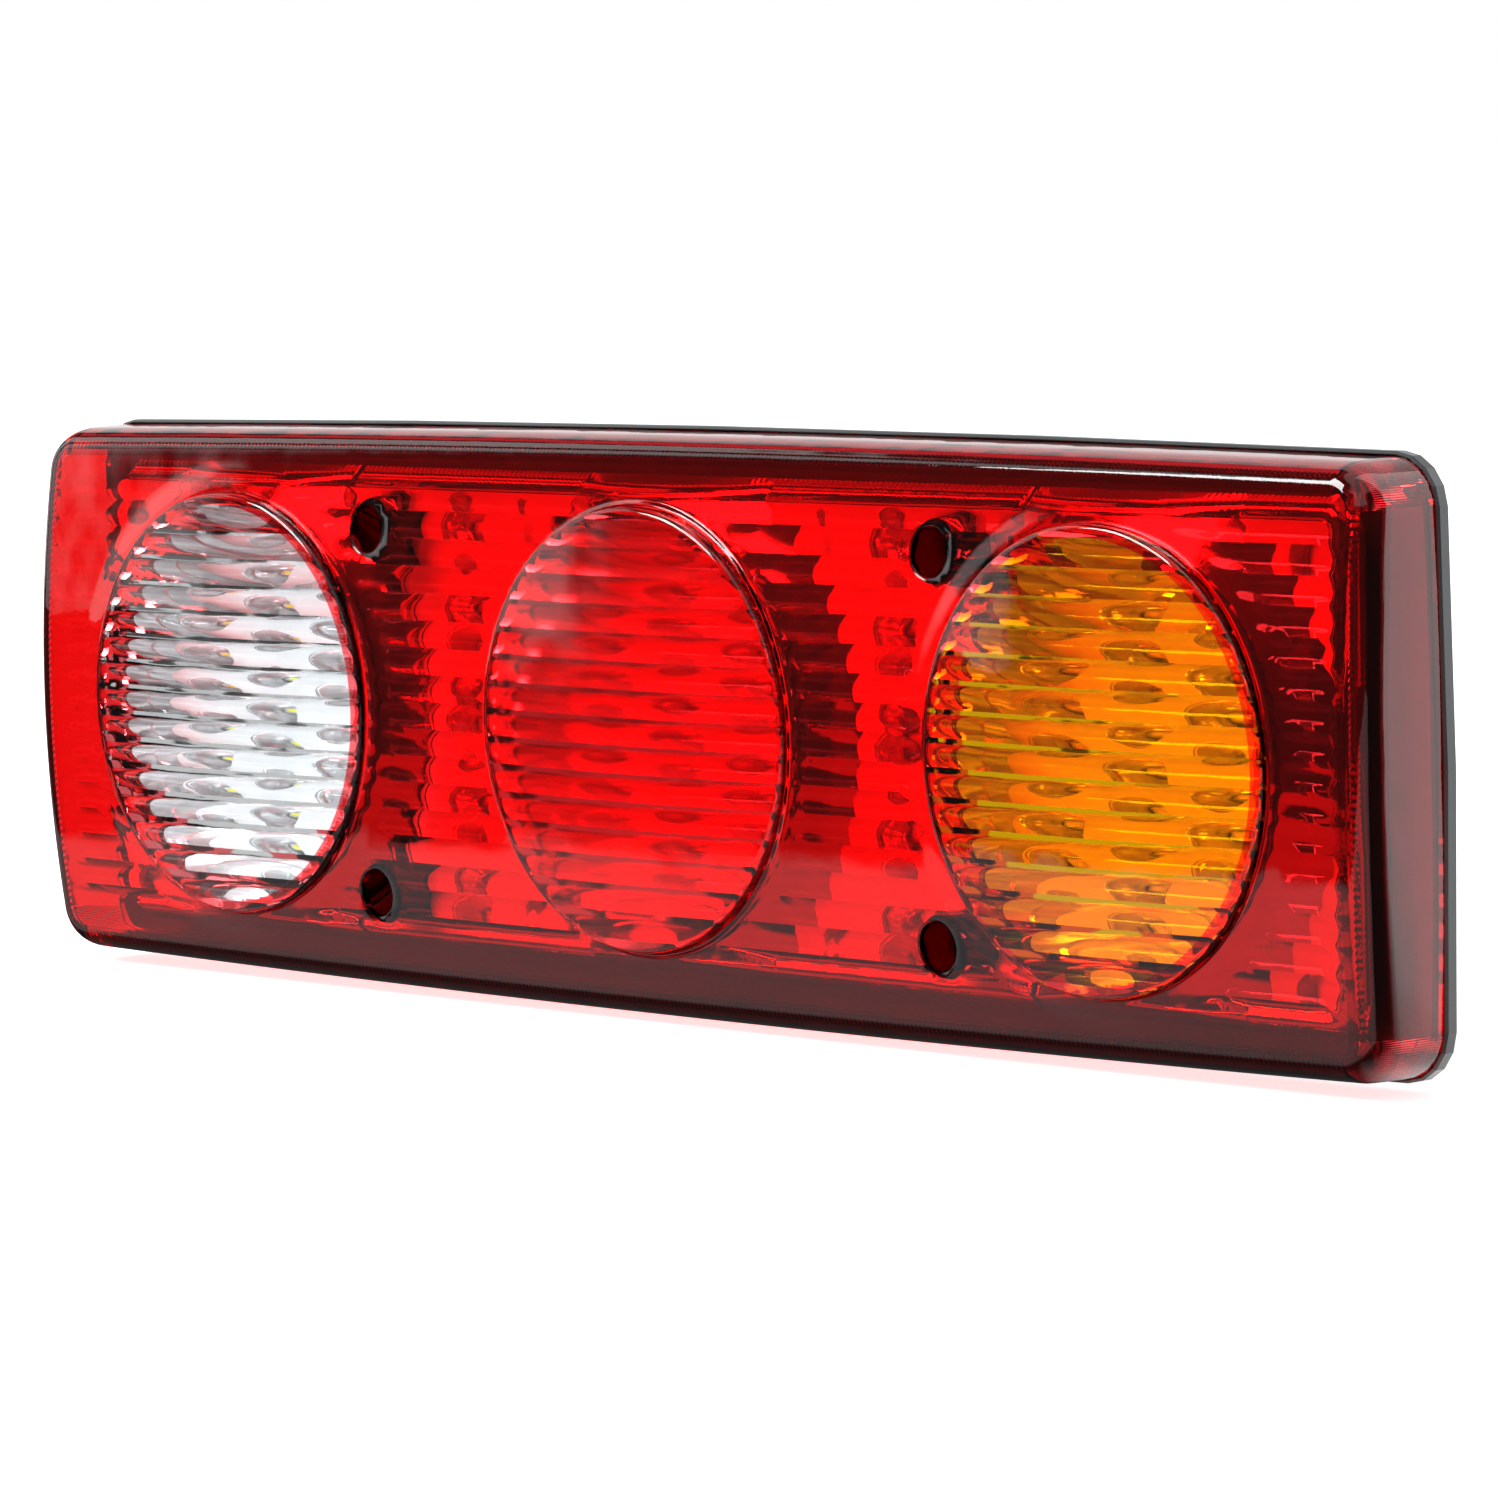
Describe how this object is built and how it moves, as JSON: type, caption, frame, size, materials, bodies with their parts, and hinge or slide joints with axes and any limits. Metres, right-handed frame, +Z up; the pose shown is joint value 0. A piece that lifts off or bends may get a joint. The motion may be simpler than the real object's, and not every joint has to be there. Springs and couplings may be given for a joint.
{
  "type": "trailer tail light",
  "caption": "Long rounded rear lamp with a crowned red lens over clear, red and amber round domes, held by studs on its back.",
  "frame": {"origin": "centre of the plane where the lamp's seating pads meet the vehicle, midway between its mounting studs", "axes": "+X along the lamp towards its amber end, +Y out of its back towards the vehicle, +Z up"},
  "size_m": [0.443, 0.0721, 0.1338],
  "materials": {
    "black_abs": "moulded black ABS, fine satin",
    "red_pmma": "clear red acrylic, high gloss",
    "clear_pmma": "water-clear acrylic, high gloss",
    "amber_pmma": "clear amber acrylic, high gloss",
    "epdm_rubber": "matt moulded rubber",
    "metallised_abs": "vacuum-metallised ABS",
    "board_laminate": "white solder resist on laminate",
    "zinc_steel": "bright zinc plate",
    "black_steel": "black oxide",
    "wire_pvc": "soft PVC sleeve"
  },
  "bodies": {
    "root": {"rear_housing": "black_abs", "outer_lens": "red_pmma", "lens_gasket": "epdm_rubber", "clear_dome_lens": "clear_pmma", "red_dome_lens": "red_pmma", "amber_dome_lens": "amber_pmma", "reflector_reverse": "metallised_abs", "reflector_stop_tail": "metallised_abs", "reflector_indicator": "metallised_abs", "led_board_reverse": "board_laminate", "led_board_stop_tail": "board_laminate", "led_board_indicator": "board_laminate", "board_link_left": "wire_pvc", "board_link_right": "wire_pvc", "cable_grommet": "epdm_rubber", "breather_plug": "epdm_rubber", "lens_screw_1": "black_steel", "lens_screw_seal_1": "epdm_rubber", "lens_screw_2": "black_steel", "lens_screw_seal_2": "epdm_rubber", "lens_screw_3": "black_steel", "lens_screw_seal_3": "epdm_rubber", "lens_screw_4": "black_steel", "lens_screw_seal_4": "epdm_rubber", "board_screw_reverse_1": "zinc_steel", "board_screw_reverse_2": "zinc_steel", "board_screw_stop_1": "zinc_steel", "board_screw_stop_2": "zinc_steel", "board_screw_stop_3": "zinc_steel", "board_screw_stop_4": "zinc_steel", "board_screw_indicator_1": "zinc_steel", "board_screw_indicator_2": "zinc_steel", "mounting_stud_left": "zinc_steel", "flat_washer_left": "zinc_steel", "spring_washer_left": "zinc_steel", "nut_left": "zinc_steel", "mounting_stud_right": "zinc_steel", "flat_washer_right": "zinc_steel", "spring_washer_right": "zinc_steel", "nut_right": "zinc_steel"}
  },
  "joints": []
}
